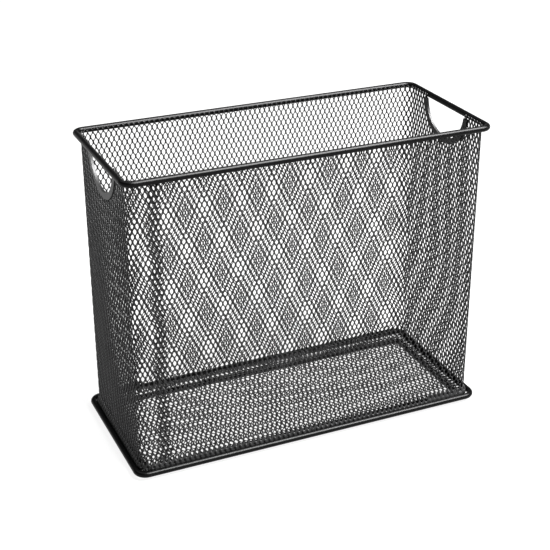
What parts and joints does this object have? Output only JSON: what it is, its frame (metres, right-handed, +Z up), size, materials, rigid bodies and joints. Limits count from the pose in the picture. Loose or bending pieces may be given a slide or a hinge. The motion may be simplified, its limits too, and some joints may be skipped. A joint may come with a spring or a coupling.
{
  "type": "magazine file holder",
  "caption": "Open-topped expanded-metal mesh box with wire hoops round its top and foot and a half-round hand hole edged in channel at each end, for standing files and magazines.",
  "frame": {"origin": "on the standing surface, under the middle of the box", "axes": "+X along the long side to the right end, +Y from the front long side to the back one, +Z up"},
  "size_m": [0.3048, 0.1334, 0.2476],
  "materials": {
    "black_mesh": "satin",
    "black_wire": "satin",
    "black_trim": "satin"
  },
  "bodies": {
    "root": {"wall_front": "black_mesh", "wall_back": "black_mesh", "wall_left_end": "black_mesh", "wall_right_end": "black_mesh", "wall_corner_front_left": "black_mesh", "wall_corner_front_right": "black_mesh", "wall_corner_back_left": "black_mesh", "wall_corner_back_right": "black_mesh", "wall_lap_seam": "black_mesh", "wall_foot_flange": "black_mesh", "floor_mesh": "black_mesh", "top_rim_wire": "black_wire", "base_rim_wire": "black_wire", "floor_rim_wire": "black_wire", "left_handle_trim": "black_trim", "right_handle_trim": "black_trim"}
  },
  "joints": []
}
